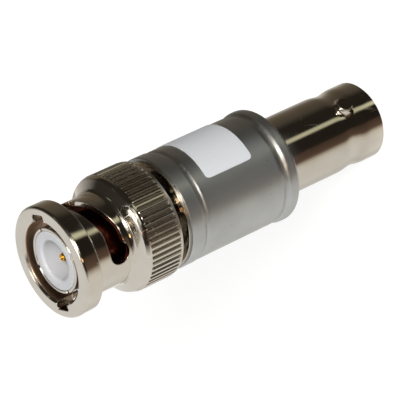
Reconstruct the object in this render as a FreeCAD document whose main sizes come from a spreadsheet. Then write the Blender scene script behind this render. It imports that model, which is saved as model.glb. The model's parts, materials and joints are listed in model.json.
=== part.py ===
import FreeCAD, Part
import math
import os
import re

import Sketcher

# In-line coaxial attenuator: a bayonet plug on top, a tubular housing, a bayonet jack below.
# Millimetres. The origin is the centre of the jack's end face, and +Z runs up the axis to the plug.
# The jack's two lugs lie along X.

DIMENSIONS = {
    # jack barrel
    "barrel_radius": 4.87,
    "barrel_length": 15.95,
    "bore_radius": 4.08,
    "bore_depth": 8.4,
    "mouth_chamfer": 0.2,
    "end_chamfer": 0.3,
    "collar_length": 2.7,
    "waist_cut": 0.22,
    "waist_slope": 1.1,
    "waist_length": 0.9,
    "waist_return": 1.4,
    "lug_height": 4.5,
    "lug_radius": 1.0,
    "lug_reach": 5.5,
    "lug_chamfer": 0.12,
    "lip_thickness": 0.8,
    "lip_play": 0.03,
    "chamber_step": 0.83,
    "nose_radius": 2.37,
    "nose_length": 4.95,
    # housing tube
    "housing_length": 16.55,
    "tube_radius": 6.9,
    "tube_wall": 0.5,
    "end_bead_rise": 0.22,
    "end_bead_high": 1.0,
    "end_rounding": 0.55,
    "rear_groove_height": 2.05,
    "front_band_rise": 0.06,
    "front_groove_drop": 2.35,
    "groove_depth": 0.16,
    "groove_half_width": 0.5,
    "groove_rounding": 0.35,
    "tube_edge_rounding": 0.15,
    "spigot_play": 0.04,
    "rear_spigot_length": 3.65,
    "front_spigot_length": 4.4,
    "bead_groove_depth": 0.25,
    # plug body
    "cover_flange_step": 0.3,
    "cover_flange_thickness": 0.25,
    "cover_flange_rounding": 0.08,
    "neck_radius": 4.12,
    "neck_length": 4.85,
    "neck_bore_step": 0.15,
    "sleeve_seat_wall": 0.27,
    # retaining ring and its groove
    "ring_thickness": 0.4,
    "ring_reach": 0.68,
    "ring_groove_depth": 0.2,
    "ring_gap_angle": 40.0,
    "ring_play": 0.02,
    # coupling nut
    "nut_gap": 1.05,
    "nut_length": 14.0,
    "coupling_play": 0.08,
    "nut_mouth_chamfer": 0.3,
    "front_flange_radius": 6.83,
    "front_flange_thickness": 2.3,
    "front_flange_rounding": 0.35,
    "front_flange_back_rounding": 0.2,
    "slotted_wall": 0.62,
    "cove_margin": 0.43,
    "cove_rounding": 0.8,
    "grip_edge_step": 0.28,
    "grip_edge_drop": 0.8,
    "grip_shoulder": 0.5,
    "knurl_radius": 7.25,
    "knurl_rise": 0.05,
    "knurl_length": 4.25,
    "knurl_count": 60,
    "knurl_depth": 0.22,
    "knurl_width": 0.42,
    "grip_rim": 0.3,
    "grip_chamfer": 0.35,
    "ring_room": 0.5,
    "rear_recess_depth": 0.5,
    "shoulder_thickness": 0.5,
    "neck_clearance": 0.06,
    # bayonet slots
    "slot_angle_mouth": 46.0,
    "slot_angle_ramp_end": -20.0,
    "slot_angle_detent": -50.0,
    "slot_play": 0.2,
    "notch_play": 0.15,
    "notch_room": 0.3,
    "detent_play": 0.32,
    "detent_drop": 0.25,
    "ramp_start_depth": 4.05,
    "ramp_rise": 1.6,
    "slot_cut_margin": 0.6,
    # spring washers, thrust washer and gasket
    "washer_thickness": 0.2,
    "washer_play": 0.08,
    "washer_room": 0.1,
    "spring_strip": 0.2,
    "spring_inset": 0.05,
    "spring_waves": 3,
    "spring_rings": 3,
    "spring_steps": 8,
    "spring_length": 2.6,
    "collar_thickness": 0.5,
    "collar_play": 0.07,
    "gasket_thickness": 1.0,
    "gasket_play": 0.1,
    # outer contact
    "contact_play": 0.03,
    "contact_wall": 0.4,
    "contact_setback": 0.6,
    "contact_tip_length": 1.6,
    "contact_relief": 0.1,
    "contact_spigot_length": 2.5,
    "finger_slit_width": 0.35,
    "finger_slit_length": 3.9,
    "finger_angle": 62.0,
    "finger_count": 4,
    "contact_bore_step": 0.3,
    # insulators
    "fit_gap": 0.02,
    "nose_play": 0.03,
    "recess_depth": 5.4,
    "recess_chamfer": 0.15,
    "plug_insulator_tail": 3.0,
    "bead_length": 3.7,
    "jack_bead_length": 3.3,
    # pin and socket
    "pin_radius": 0.675,
    "pin_setback": 0.7,
    "pin_taper": 1.2,
    "pin_tip_radius": 0.42,
    "pin_tip_rounding": 0.15,
    "pin_body_step": 0.225,
    "pin_collar_step": 0.3,
    "pin_collar_thickness": 0.6,
    "socket_play": 0.005,
    "socket_wall": 0.37,
    "socket_bore_depth": 5.8,
    "socket_setback": 0.15,
    "socket_collar_step": 0.25,
    "socket_collar_thickness": 0.4,
    "socket_slit_width": 0.2,
    "socket_slit_length": 4.0,
    "socket_slit_count": 4,
    "lead_radius": 0.3,
    "lead_play": 0.04,
    "lead_hole_depth": 2.0,
    "lead_end_gap": 0.3,
    # resistor network
    "disc_thickness": 0.6,
    "stub_play": 0.04,
    "spacer_wall": 0.76,
    "stub_radius": 0.56,
    "stub_flange_step": 0.54,
    "stub_flange_thickness": 0.3,
    "resistor_gap": 0.25,
    "resistor_length": 2.8,
    "resistor_radius": 0.88,
    "cap_wall": 0.12,
    "cap_depth": 0.55,
    # label
    "label_height": 6.95,
    "label_base": 21.35,
    "label_thickness": 0.08,
    "label_angle_start": -16.0,
    "label_angle_span": 125.0,
}

# Radii and heights that follow from the sizes above. The plug takes its fit from this part's own jack end,
# because both are the two halves of one interface.
PLACES = {
    # radii of the jack and the housing
    "waist_radius": "barrel_radius - waist_cut",
    "jack_chamber_radius": "nose_radius + chamber_step",
    "tube_inner": "tube_radius - tube_wall",
    "tube_hole": "barrel_radius + fit_gap",
    "end_bead_radius": "tube_radius + end_bead_rise",
    "front_band_radius": "tube_radius + front_band_rise",
    "spigot_radius": "tube_inner - spigot_play",
    "cover_flange_radius": "tube_radius - cover_flange_step",
    "spacer_inner_radius": "spigot_radius - spacer_wall",
    # radii of the coupling nut and what turns or slides in it
    "nut_bore_radius": "barrel_radius + coupling_play",
    "slotted_radius": "nut_bore_radius + slotted_wall",
    "grip_radius": "knurl_radius - knurl_rise",
    "grip_edge_radius": "knurl_radius - grip_edge_step",
    "ring_outer_radius": "neck_radius + ring_reach",
    "rear_recess_radius": "ring_outer_radius + ring_room",
    "washer_inner_radius": "neck_radius + washer_play",
    "washer_outer_radius": "nut_bore_radius - washer_room",
    "spring_inner_radius": "washer_inner_radius + spring_inset",
    "spring_outer_radius": "washer_outer_radius - spring_inset",
    "collar_radius": "nut_bore_radius - collar_play",
    "gasket_radius": "nut_bore_radius - gasket_play",
    # sizes of the bayonet slots, from the lugs that run in them
    "slot_width": "2 * lug_radius + slot_play",
    "notch_width": "2 * lug_radius + notch_play",
    "notch_radius": "lug_reach + notch_room",
    "detent_radius": "lug_radius + detent_play",
    "detent_depth": "ramp_start_depth + ramp_rise + detent_drop",
    # radii of the contacts and insulators
    "contact_radius": "bore_radius - contact_play",
    "contact_inner_radius": "contact_radius - contact_wall",
    "sleeve_seat_radius": "neck_radius - sleeve_seat_wall",
    "contact_spigot_bore": "sleeve_seat_radius - contact_wall",
    "neck_bore_radius": "contact_spigot_bore - neck_bore_step",
    "recess_radius": "nose_radius + nose_play",
    "pin_body_radius": "pin_radius + pin_body_step",
    "pin_collar_radius": "pin_body_radius + pin_collar_step",
    "socket_bore_radius": "pin_radius + socket_play",
    "socket_radius": "socket_bore_radius + socket_wall",
    "socket_collar_radius": "socket_radius + socket_collar_step",
    "lead_hole_radius": "lead_radius + lead_play",
    "lead_depth": "lead_hole_depth - lead_end_gap",
    "disc_hole_radius": "stub_radius + stub_play",
    "stub_flange_radius": "stub_radius + stub_flange_step",
    # heights of the jack and the rear shoulder
    "waist_low": "collar_length + waist_slope",
    "waist_high": "waist_low + waist_length",
    "waist_end": "waist_high + waist_return",
    "housing_base": "barrel_length",
    "shoulder_base": "housing_base + tube_wall",
    "rear_spigot_top": "housing_base + rear_spigot_length",
    "rear_groove": "housing_base + rear_groove_height",
    "lip_top": "bore_depth + lip_thickness",
    # heights of the housing and the plug body
    "tube_top": "housing_base + housing_length",
    "front_groove": "tube_top - front_groove_drop",
    "flange_top": "tube_top + cover_flange_thickness",
    "front_spigot_base": "tube_top - front_spigot_length",
    "neck_top": "flange_top + neck_length",
    # heights of the coupling nut
    "nut_base": "flange_top + nut_gap",
    "nut_top": "nut_base + nut_length",
    "recess_top": "nut_base + rear_recess_depth",
    "shoulder_top": "recess_top + shoulder_thickness",
    "rim_top": "nut_base + grip_chamfer + grip_rim",
    "knurl_base": "rim_top",
    "knurl_top": "knurl_base + knurl_length",
    "grip_edge": "cove_base - grip_edge_drop",
    "cove_base": "nut_top - detent_depth - detent_radius - cove_margin",
    "front_flange_base": "nut_top - front_flange_thickness",
    "ring_base": "recess_top - ring_thickness - 2 * ring_play",
    "ring_top": "ring_base + ring_thickness",
    # heights of the stack on the nut's shoulder
    "washer_top": "shoulder_top + washer_thickness",
    "spring_top": "washer_top + spring_length",
    "collar_top": "spring_top + collar_thickness",
    "gasket_top": "collar_top + gasket_thickness",
    # heights of the outer contact and the plug insulator
    "contact_top": "nut_top - contact_setback",
    "contact_base": "spring_top - contact_spigot_length",
    "plug_recess": "contact_top - recess_depth",
    "plug_insulator_base": "contact_base - plug_insulator_tail",
    "pin_top": "contact_top - pin_setback",
    "pin_collar_top": "plug_insulator_base + pin_collar_thickness",
    "bead_base": "plug_insulator_base - bead_length",
    "pin_base": "bead_base - 0.5 * stub_flange_thickness",
    # heights of the jack insulators and the socket
    "nose_tip": "bore_depth - nose_length",
    "socket_tip": "nose_tip + socket_setback",
    "jack_bead_top": "rear_spigot_top - 2 * resistor_gap",
    "jack_bead_base": "jack_bead_top - jack_bead_length",
    "socket_top": "rear_spigot_top + resistor_gap",
    # heights of the resistor network and the label
    "disc_middle": "0.5 * (rear_spigot_top + front_spigot_base)",
    "disc_base": "disc_middle - 0.5 * disc_thickness",
    "disc_top": "disc_middle + 0.5 * disc_thickness",
    "stub_base": "disc_base - stub_flange_thickness",
    "stub_top": "disc_top + stub_flange_thickness",
    "label_top": "label_base + label_height",
}

TOLERANCE = 1e-5
WORD = re.compile(r"[a-z][a-z_]*")

doc = FreeCAD.newDocument("attenuator")
sheet = doc.addObject("Spreadsheet::Sheet", "Dimensions")
for row, (name, size) in enumerate(DIMENSIONS.items(), start=1):
    sheet.set(f"A{row}", name)
    sheet.set(f"B{row}", str(size))
    sheet.setAlias(f"B{row}", name)
doc.recompute()


def bound(text):
    """the same expression with every name replaced by its cell in the sheet"""

    def swap(match):
        name = match.group(0)
        if name in PLACES:
            return f"({bound(PLACES[name])})"
        return f"Dimensions.{name}"

    return WORD.sub(swap, str(text))


def value(text):
    """the number that an expression gives"""
    return float(sheet.evalExpression(bound(text)))


def tie(thing, prop, text):
    """drives one property of an object from the sheet"""
    thing.setExpression(prop, bound(text))


# Sketches and features

def new_body(label):
    body = doc.addObject("PartDesign::Body", label)
    body.Label = label
    return body


def origin_feature(body, role):
    for feature in body.Origin.OriginFeatures:
        if feature.Role == role:
            return feature
    raise ValueError(role)


def new_sketch(body, name, plane, axis=(0, 0, 1), angle="0", lift="0"):
    """a sketch on one of the body's planes, turned about its own axis and lifted off the plane"""
    sketch = body.newObject("Sketcher::SketchObject", name)
    sketch.AttachmentSupport = [(origin_feature(body, plane), "")]
    sketch.MapMode = "FlatFace"
    turn = FreeCAD.Rotation(FreeCAD.Vector(*axis), value(angle))
    sketch.AttachmentOffset = FreeCAD.Placement(FreeCAD.Vector(0, 0, value(lift)), turn)
    if abs(value(angle)) > TOLERANCE:
        tie(sketch, "AttachmentOffset.Rotation.Angle", angle)
    if abs(value(lift)) > TOLERANCE:
        tie(sketch, "AttachmentOffset.Base.z", lift)
    return sketch


def hold(sketch, kind, geometry, point, text):
    """holds one end of a line at a distance from the sketch's origin"""
    size = value(text)
    axis = -2 if kind == "DistanceX" else -1
    if abs(size) < TOLERANCE:
        sketch.addConstraint(Sketcher.Constraint("PointOnObject", geometry, point, axis))
    elif size > 0:
        place = sketch.addConstraint(Sketcher.Constraint(kind, -1, 1, geometry, point, size))
        tie(sketch, f"Constraints[{place}]", text)
    else:
        place = sketch.addConstraint(Sketcher.Constraint(kind, geometry, point, -1, 1, -size))
        tie(sketch, f"Constraints[{place}]", f"-({text})")


def draw_polygon(sketch, corners):
    """a closed outline whose corners are held by two distances each"""
    points = [FreeCAD.Vector(value(across), value(up), 0) for across, up in corners]
    count = len(points)
    for place in range(count):
        sketch.addGeometry(Part.LineSegment(points[place], points[(place + 1) % count]), False)
    for place in range(count):
        sketch.addConstraint(Sketcher.Constraint("Coincident", place, 2, (place + 1) % count, 1))
    for place, (across, up) in enumerate(corners):
        hold(sketch, "DistanceX", place, 1, across)
        hold(sketch, "DistanceY", place, 1, up)


def draw_circle(sketch, across, up, radius):
    centre = FreeCAD.Vector(value(across), value(up), 0)
    sketch.addGeometry(Part.Circle(centre, FreeCAD.Vector(0, 0, 1), value(radius)), False)
    hold(sketch, "DistanceX", 0, 3, across)
    hold(sketch, "DistanceY", 0, 3, up)
    place = sketch.addConstraint(Sketcher.Constraint("Radius", 0, value(radius)))
    tie(sketch, f"Constraints[{place}]", radius)


def box_corners(low_across, high_across, low_up, high_up):
    return [
        (low_across, low_up),
        (high_across, low_up),
        (high_across, high_up),
        (low_across, high_up),
    ]


def turned(label, corners, start="0", span=None):
    """a body turned from one half section, given as radius and height of each corner"""
    body = new_body(label)
    sketch = new_sketch(body, f"{label}_section", "XZ_Plane", (0, 1, 0), start)
    draw_polygon(sketch, corners)
    turning = body.newObject("PartDesign::Revolution", f"{label}_turning")
    turning.Profile = sketch
    turning.ReferenceAxis = (sketch, ["V_Axis"])
    if span is None:
        turning.Angle = 360
    else:
        tie(turning, "Angle", span)
    doc.recompute()
    return body


def ring_edges(shape, places):
    """names of the circular edges at each radius and height"""
    names = []
    for radius, height in places:
        wanted = (value(radius), value(height))
        for number, edge in enumerate(shape.Edges, start=1):
            curve = edge.Curve
            if not isinstance(curve, Part.Circle):
                continue
            if abs(curve.Radius - wanted[0]) < TOLERANCE and abs(curve.Center.z - wanted[1]) < TOLERANCE:
                names.append(f"Edge{number}")
    if not names:
        raise ValueError(f"no edge at {places}")
    return names


def dressed(body, kind, size, places):
    """rounds or chamfers the circular edges at the given places"""
    base = body.Tip
    feature = body.newObject(f"PartDesign::{kind}", f"{body.Label}_{kind.lower()}")
    feature.Base = (base, ring_edges(base.Shape, places))
    tie(feature, "Radius" if kind == "Fillet" else "Size", size)
    doc.recompute()


def cut_checked(body, feature, before):
    doc.recompute()
    if feature.Shape.Volume > before - TOLERANCE:
        raise ValueError(f"{feature.Label} removed nothing")


def pocket(body, sketch, depth, reverse=False, middle=False):
    before = body.Tip.Shape.Volume
    feature = body.newObject("PartDesign::Pocket", f"{sketch.Label}_cut")
    feature.Profile = sketch
    feature.Reversed = reverse
    feature.Midplane = middle
    tie(feature, "Length", depth)
    cut_checked(body, feature, before)
    return feature


def repeated(body, features, count):
    """the same features spread evenly round the axis"""
    pattern = body.newObject("PartDesign::PolarPattern", f"{features[0].Label}_round")
    pattern.Originals = features
    pattern.Axis = (origin_feature(body, "Z_Axis"), [""])
    pattern.Angle = 360
    tie(pattern, "Occurrences", count)
    body.Tip = pattern
    doc.recompute()
    return pattern


def slits(body, name, low_radius, high_radius, low, high, width, count, angle="0"):
    """narrow saw cuts through a wall, spread round the axis"""
    sketch = new_sketch(body, name, "XZ_Plane", (0, 1, 0), angle)
    draw_polygon(sketch, box_corners(low_radius, high_radius, low, high))
    repeated(body, [pocket(body, sketch, width, middle=True)], count)


# Jack

def jack_body():
    """one turned piece: the barrel with its waist and lugs, and the shoulder inside the housing"""
    body = turned("jack_body", [
        ("bore_radius", "0"),
        ("barrel_radius", "0"),
        ("barrel_radius", "collar_length"),
        ("waist_radius", "waist_low"),
        ("waist_radius", "waist_high"),
        ("barrel_radius", "waist_end"),
        ("barrel_radius", "shoulder_base"),
        ("spigot_radius", "shoulder_base"),
        ("spigot_radius", "rear_groove - groove_half_width - fit_gap"),
        ("spigot_radius - bead_groove_depth", "rear_groove"),
        ("spigot_radius", "rear_groove + groove_half_width + fit_gap"),
        ("spigot_radius", "rear_spigot_top"),
        ("jack_chamber_radius", "rear_spigot_top"),
        ("jack_chamber_radius", "lip_top"),
        ("nose_radius + lip_play", "lip_top"),
        ("nose_radius + lip_play", "bore_depth"),
        ("bore_radius", "bore_depth"),
    ])
    dressed(body, "Chamfer", "mouth_chamfer", [("bore_radius", "0")])
    dressed(body, "Chamfer", "end_chamfer", [("barrel_radius", "0")])
    sketch = new_sketch(body, "lug_section", "XZ_Plane")
    draw_polygon(sketch, [
        ("0.5 * (bore_radius + barrel_radius)", "lug_height"),
        ("lug_reach", "lug_height"),
        ("lug_reach", "lug_height + lug_radius - lug_chamfer"),
        ("lug_reach - lug_chamfer", "lug_height + lug_radius"),
        ("0.5 * (bore_radius + barrel_radius)", "lug_height + lug_radius"),
    ])
    lug = body.newObject("PartDesign::Revolution", "lug")
    lug.Profile = sketch
    lug.ReferenceAxis = (sketch, ["Edge1"])
    lug.Angle = 360
    doc.recompute()
    repeated(body, [lug], "2")
    return body


def jack_insulator():
    """nose in the bore and a larger part in the chamber behind the lip"""
    body = turned("jack_insulator", [
        ("socket_radius + fit_gap", "nose_tip"),
        ("nose_radius", "nose_tip"),
        ("nose_radius", "lip_top + fit_gap"),
        ("jack_chamber_radius - fit_gap", "lip_top + fit_gap"),
        ("jack_chamber_radius - fit_gap", "jack_bead_base"),
        ("socket_collar_radius + fit_gap", "jack_bead_base"),
        ("socket_collar_radius + fit_gap", "jack_bead_base - socket_collar_thickness - fit_gap"),
        ("socket_radius + fit_gap", "jack_bead_base - socket_collar_thickness - fit_gap"),
    ])
    dressed(body, "Chamfer", "recess_chamfer", [("nose_radius", "nose_tip")])
    return body


def jack_bead():
    return turned("jack_bead", box_corners(
        "pin_radius + fit_gap", "jack_chamber_radius - fit_gap", "jack_bead_base", "jack_bead_top"))


def jack_socket():
    """slotted socket in front, a collar held between the insulators, a cup for the lead behind"""
    body = turned("jack_socket", [
        ("socket_bore_radius", "socket_tip"),
        ("socket_radius", "socket_tip"),
        ("socket_radius", "jack_bead_base - socket_collar_thickness"),
        ("socket_collar_radius", "jack_bead_base - socket_collar_thickness"),
        ("socket_collar_radius", "jack_bead_base - fit_gap"),
        ("pin_radius", "jack_bead_base - fit_gap"),
        ("pin_radius", "socket_top"),
        ("lead_hole_radius", "socket_top"),
        ("lead_hole_radius", "socket_top - lead_hole_depth"),
        ("0", "socket_top - lead_hole_depth"),
        ("0", "socket_tip + socket_bore_depth"),
        ("socket_bore_radius", "socket_tip + socket_bore_depth"),
    ])
    slits(body, "socket_slit", "0.5 * socket_bore_radius", "socket_radius + fit_gap",
          "socket_tip - fit_gap", "socket_tip + socket_slit_length",
          "socket_slit_width", "socket_slit_count")
    return body


# Housing

def housing_tube():
    """drawn tube with a bead at the closed end and a rolled groove over each spigot"""
    wall = "tube_wall"
    body = turned("housing_tube", [
        ("tube_hole", "housing_base"),
        ("end_bead_radius", "housing_base"),
        ("end_bead_radius", "housing_base + end_bead_high"),
        ("tube_radius - groove_depth", "rear_groove"),
        ("tube_radius", "rear_groove + groove_half_width"),
        ("tube_radius", "front_groove - groove_half_width"),
        ("tube_radius - groove_depth", "front_groove"),
        ("front_band_radius", "front_groove + groove_half_width"),
        ("front_band_radius", "tube_top"),
        ("tube_inner", "tube_top"),
        ("tube_inner", "front_groove + groove_half_width"),
        (f"tube_radius - groove_depth - {wall}", "front_groove"),
        ("tube_inner", "front_groove - groove_half_width"),
        ("tube_inner", "rear_groove + groove_half_width"),
        (f"tube_radius - groove_depth - {wall}", "rear_groove"),
        ("tube_inner", "rear_groove - groove_half_width"),
        ("tube_inner", "shoulder_base"),
        ("tube_hole", "shoulder_base"),
    ])
    dressed(body, "Fillet", "end_rounding", [
        ("end_bead_radius", "housing_base"),
        ("end_bead_radius", "housing_base + end_bead_high"),
    ])
    dressed(body, "Fillet", "groove_rounding", [
        ("tube_radius - groove_depth", "rear_groove"),
        ("tube_radius - groove_depth", "front_groove"),
    ])
    dressed(body, "Fillet", "tube_edge_rounding", [
        ("front_band_radius", "tube_top"),
        ("front_band_radius", "front_groove + groove_half_width"),
        ("tube_radius", "front_groove - groove_half_width"),
        ("tube_radius", "rear_groove + groove_half_width"),
    ])
    return body


def label():
    """a thin sheet stuck round part of the tube"""
    return turned("label", box_corners(
        "tube_radius", "tube_radius + label_thickness", "label_base", "label_top"),
        start="label_angle_start", span="label_angle_span")


# Plug

def plug_body():
    """spigot in the housing, thin cover flange, and the neck that carries the nut"""
    body = turned("plug_body", [
        ("neck_bore_radius", "front_spigot_base"),
        ("spigot_radius", "front_spigot_base"),
        ("spigot_radius", "front_groove - groove_half_width - fit_gap"),
        ("spigot_radius - bead_groove_depth", "front_groove"),
        ("spigot_radius", "front_groove + groove_half_width + fit_gap"),
        ("spigot_radius", "tube_top"),
        ("cover_flange_radius", "tube_top"),
        ("cover_flange_radius", "flange_top"),
        ("neck_radius", "flange_top"),
        ("neck_radius", "ring_base - ring_play"),
        ("neck_radius - ring_groove_depth", "ring_base - ring_play"),
        ("neck_radius - ring_groove_depth", "ring_top + ring_play"),
        ("neck_radius", "ring_top + ring_play"),
        ("neck_radius", "neck_top"),
        ("sleeve_seat_radius", "neck_top"),
        ("sleeve_seat_radius", "contact_base"),
        ("neck_bore_radius", "contact_base"),
    ])
    dressed(body, "Fillet", "cover_flange_rounding", [("cover_flange_radius", "flange_top")])
    return body


def retaining_ring():
    """open ring in the neck's groove, behind the nut's shoulder"""
    return turned("retaining_ring", box_corners(
        "neck_radius - ring_groove_depth + ring_play", "ring_outer_radius", "ring_base", "ring_top"),
        span="360 - ring_gap_angle")


def outer_contact():
    """slit tube of spring fingers, with the collar that the gasket and springs bear on"""
    body = turned("outer_contact", [
        ("contact_inner_radius", "contact_top"),
        ("contact_radius", "contact_top"),
        ("contact_radius", "contact_top - contact_tip_length"),
        ("contact_radius - contact_relief", "contact_top - 2 * contact_tip_length"),
        ("contact_radius - contact_relief", "gasket_top + contact_relief"),
        ("contact_radius", "gasket_top"),
        ("contact_radius", "collar_top"),
        ("collar_radius", "collar_top"),
        ("collar_radius", "spring_top"),
        ("sleeve_seat_radius", "spring_top"),
        ("sleeve_seat_radius", "contact_base"),
        ("contact_spigot_bore", "contact_base"),
        ("contact_spigot_bore", "collar_top"),
        ("contact_inner_radius", "collar_top + contact_bore_step"),
    ])
    dressed(body, "Fillet", "contact_relief", [("contact_radius", "contact_top")])
    slits(body, "finger_slit", "0.8 * contact_inner_radius", "contact_radius + fit_gap",
          "contact_top - finger_slit_length", "contact_top + fit_gap",
          "finger_slit_width", "finger_count", "finger_angle")
    return body


def plug_insulator():
    """nose with the recess for a jack's own nose, stepped down through the contact and the neck"""
    body = turned("plug_insulator", [
        ("recess_radius", "contact_top"),
        ("contact_inner_radius - fit_gap", "contact_top"),
        ("contact_inner_radius - fit_gap", "collar_top + contact_bore_step + fit_gap"),
        ("contact_spigot_bore - fit_gap", "collar_top + fit_gap"),
        ("contact_spigot_bore - fit_gap", "contact_base"),
        ("neck_bore_radius - fit_gap", "contact_base"),
        ("neck_bore_radius - fit_gap", "plug_insulator_base"),
        ("pin_collar_radius + fit_gap", "plug_insulator_base"),
        ("pin_collar_radius + fit_gap", "pin_collar_top + fit_gap"),
        ("pin_body_radius + fit_gap", "pin_collar_top + fit_gap"),
        ("pin_body_radius + fit_gap", "plug_recess"),
        ("recess_radius", "plug_recess"),
    ])
    dressed(body, "Chamfer", "recess_chamfer", [
        ("recess_radius", "contact_top"),
        ("contact_inner_radius - fit_gap", "contact_top"),
    ])
    return body


def plug_bead():
    return turned("plug_bead", box_corners(
        "pin_radius + fit_gap", "neck_bore_radius - fit_gap", "bead_base", "plug_insulator_base"))


def plug_pin():
    """pin on a thicker body, with a collar held between the insulators and a cup for the lead behind"""
    body = turned("plug_pin", [
        ("0", "pin_base + lead_hole_depth"),
        ("lead_hole_radius", "pin_base + lead_hole_depth"),
        ("lead_hole_radius", "pin_base"),
        ("pin_radius", "pin_base"),
        ("pin_radius", "plug_insulator_base + fit_gap"),
        ("pin_collar_radius", "plug_insulator_base + fit_gap"),
        ("pin_collar_radius", "pin_collar_top"),
        ("pin_body_radius", "pin_collar_top"),
        ("pin_body_radius", "plug_recess"),
        ("pin_radius", "plug_recess"),
        ("pin_radius", "pin_top - pin_taper"),
        ("pin_tip_radius", "pin_top"),
        ("0", "pin_top"),
    ])
    dressed(body, "Fillet", "pin_tip_rounding", [("pin_tip_radius", "pin_top")])
    return body


# Coupling nut and what it bears on

def coupling_nut():
    """one piece: front flange, slotted sleeve with two bayonet slots, and knurled grip"""
    body = turned("coupling_nut", [
        ("nut_bore_radius", "shoulder_top"),
        ("neck_radius + neck_clearance", "shoulder_top"),
        ("neck_radius + neck_clearance", "recess_top"),
        ("rear_recess_radius", "recess_top"),
        ("rear_recess_radius", "nut_base"),
        ("grip_radius", "nut_base"),
        ("grip_radius", "rim_top"),
        ("knurl_radius", "knurl_base + knurl_radius - grip_radius"),
        ("knurl_radius", "knurl_top - knurl_radius + grip_radius"),
        ("grip_radius", "knurl_top"),
        ("grip_radius", "grip_edge - grip_shoulder"),
        ("grip_edge_radius", "grip_edge"),
        ("slotted_radius", "cove_base"),
        ("slotted_radius", "front_flange_base"),
        ("front_flange_radius", "front_flange_base"),
        ("front_flange_radius", "nut_top"),
        ("nut_bore_radius", "nut_top"),
    ])
    dressed(body, "Chamfer", "grip_chamfer", [("grip_radius", "nut_base")])
    dressed(body, "Fillet", "cove_rounding", [("slotted_radius", "cove_base")])
    dressed(body, "Fillet", "front_flange_rounding", [("front_flange_radius", "nut_top")])
    dressed(body, "Fillet", "front_flange_back_rounding", [("front_flange_radius", "front_flange_base")])
    dressed(body, "Chamfer", "nut_mouth_chamfer", [("nut_bore_radius", "nut_top")])
    knurl(body)
    bayonet_slots(body)
    return body


def knurl(body):
    """straight grooves along the grip, one tooth on each row axis"""
    sketch = new_sketch(body, "knurl_groove", "XY_Plane", angle="180 / knurl_count", lift="knurl_base")
    draw_polygon(sketch, [
        ("knurl_radius - knurl_depth", "0"),
        ("knurl_radius + fit_gap", "-0.5 * knurl_width"),
        ("knurl_radius + fit_gap", "0.5 * knurl_width"),
    ])
    groove = pocket(body, sketch, "knurl_length", reverse=True)
    repeated(body, [groove], "knurl_count")


def bayonet_slots(body):
    """each slot runs in through the flange, up a helical ramp, along, and into a round detent"""
    inner = "nut_bore_radius - 0.5 * slot_cut_margin"
    outer = "slotted_radius + 0.5 * slot_cut_margin"
    ramp_start = "nut_top - ramp_start_depth"
    ramp_end = "nut_top - ramp_start_depth - ramp_rise"
    half = "0.5 * slot_width"

    sketch = new_sketch(body, "slot_mouth", "XY_Plane", angle="slot_angle_mouth",
                        lift=f"{ramp_start} - {half}")
    draw_polygon(sketch, box_corners(inner, "notch_radius", "-0.5 * notch_width", "0.5 * notch_width"))
    mouth = pocket(body, sketch, f"ramp_start_depth + {half}", reverse=True)

    before = body.Tip.Shape.Volume
    sketch = new_sketch(body, "slot_ramp_section", "XZ_Plane", (0, 1, 0), "slot_angle_ramp_end")
    draw_polygon(sketch, box_corners(inner, outer, f"{ramp_end} - {half}", f"{ramp_end} + {half}"))
    ramp = body.newObject("PartDesign::SubtractiveHelix", "slot_ramp")
    ramp.Profile = sketch
    ramp.ReferenceAxis = (sketch, ["V_Axis"])
    ramp.Mode = 0
    tie(ramp, "Pitch", "ramp_rise * 360 / (slot_angle_mouth - slot_angle_ramp_end)")
    tie(ramp, "Height", "ramp_rise")
    cut_checked(body, ramp, before)

    before = body.Tip.Shape.Volume
    sketch = new_sketch(body, "slot_run_section", "XZ_Plane", (0, 1, 0), "slot_angle_detent")
    draw_polygon(sketch, box_corners(inner, outer, f"{ramp_end} - {half}", f"{ramp_end} + {half}"))
    run = body.newObject("PartDesign::Groove", "slot_run")
    run.Profile = sketch
    run.ReferenceAxis = (sketch, ["V_Axis"])
    tie(run, "Angle", "slot_angle_ramp_end - slot_angle_detent")
    cut_checked(body, run, before)

    sketch = new_sketch(body, "detent_outline", "YZ_Plane", (0, 1, 0), "slot_angle_detent")
    draw_circle(sketch, "0", "nut_top - detent_depth", "detent_radius")
    detent = pocket(body, sketch, "grip_radius", reverse=True)
    repeated(body, [mouth, ramp, run, detent], "2")


def thrust_washer():
    """flat washer between the springs and the nut's shoulder"""
    return turned("thrust_washer", box_corners(
        "washer_inner_radius", "washer_outer_radius", "shoulder_top", "washer_top"))


def gasket():
    """soft ring in front of the collar, that a mated jack's end presses on"""
    return turned("gasket", box_corners("contact_radius", "gasket_radius", "collar_top", "gasket_top"))


def spring_washers():
    """wavy rings stacked crest to crest between the thrust washer and the collar"""
    rings = int(value("spring_rings"))
    waves = int(value("spring_waves"))
    strip = value("spring_strip")
    pitch = value("spring_length") / rings
    swing = 0.5 * (pitch - strip)
    inner = value("spring_inner_radius")
    outer = value("spring_outer_radius")
    steps = int(value("spring_steps")) * waves
    solids = []
    for ring in range(rings):
        middle = value("washer_top") + pitch * (ring + 0.5)
        turn = math.pi * ring
        edges = []
        for radius in (inner, outer):
            points = []
            for step in range(steps):
                angle = 2 * math.pi * step / steps
                height = middle - 0.5 * strip + swing * math.cos(waves * angle + turn)
                points.append(FreeCAD.Vector(radius * math.cos(angle), radius * math.sin(angle), height))
            curve = Part.BSplineCurve()
            curve.interpolate(Points=points, PeriodicFlag=True)
            edges.append(curve.toShape())
        face = Part.makeRuledSurface(edges[0], edges[1])
        solids.append(face.extrude(FreeCAD.Vector(0, 0, strip)))
    feature = doc.addObject("Part::Feature", "spring_washers")
    feature.Label = "spring_washers"
    feature.Shape = Part.makeCompound(solids)
    feature.Placement = FreeCAD.Placement()
    return feature


# Resistor network inside the housing

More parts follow.
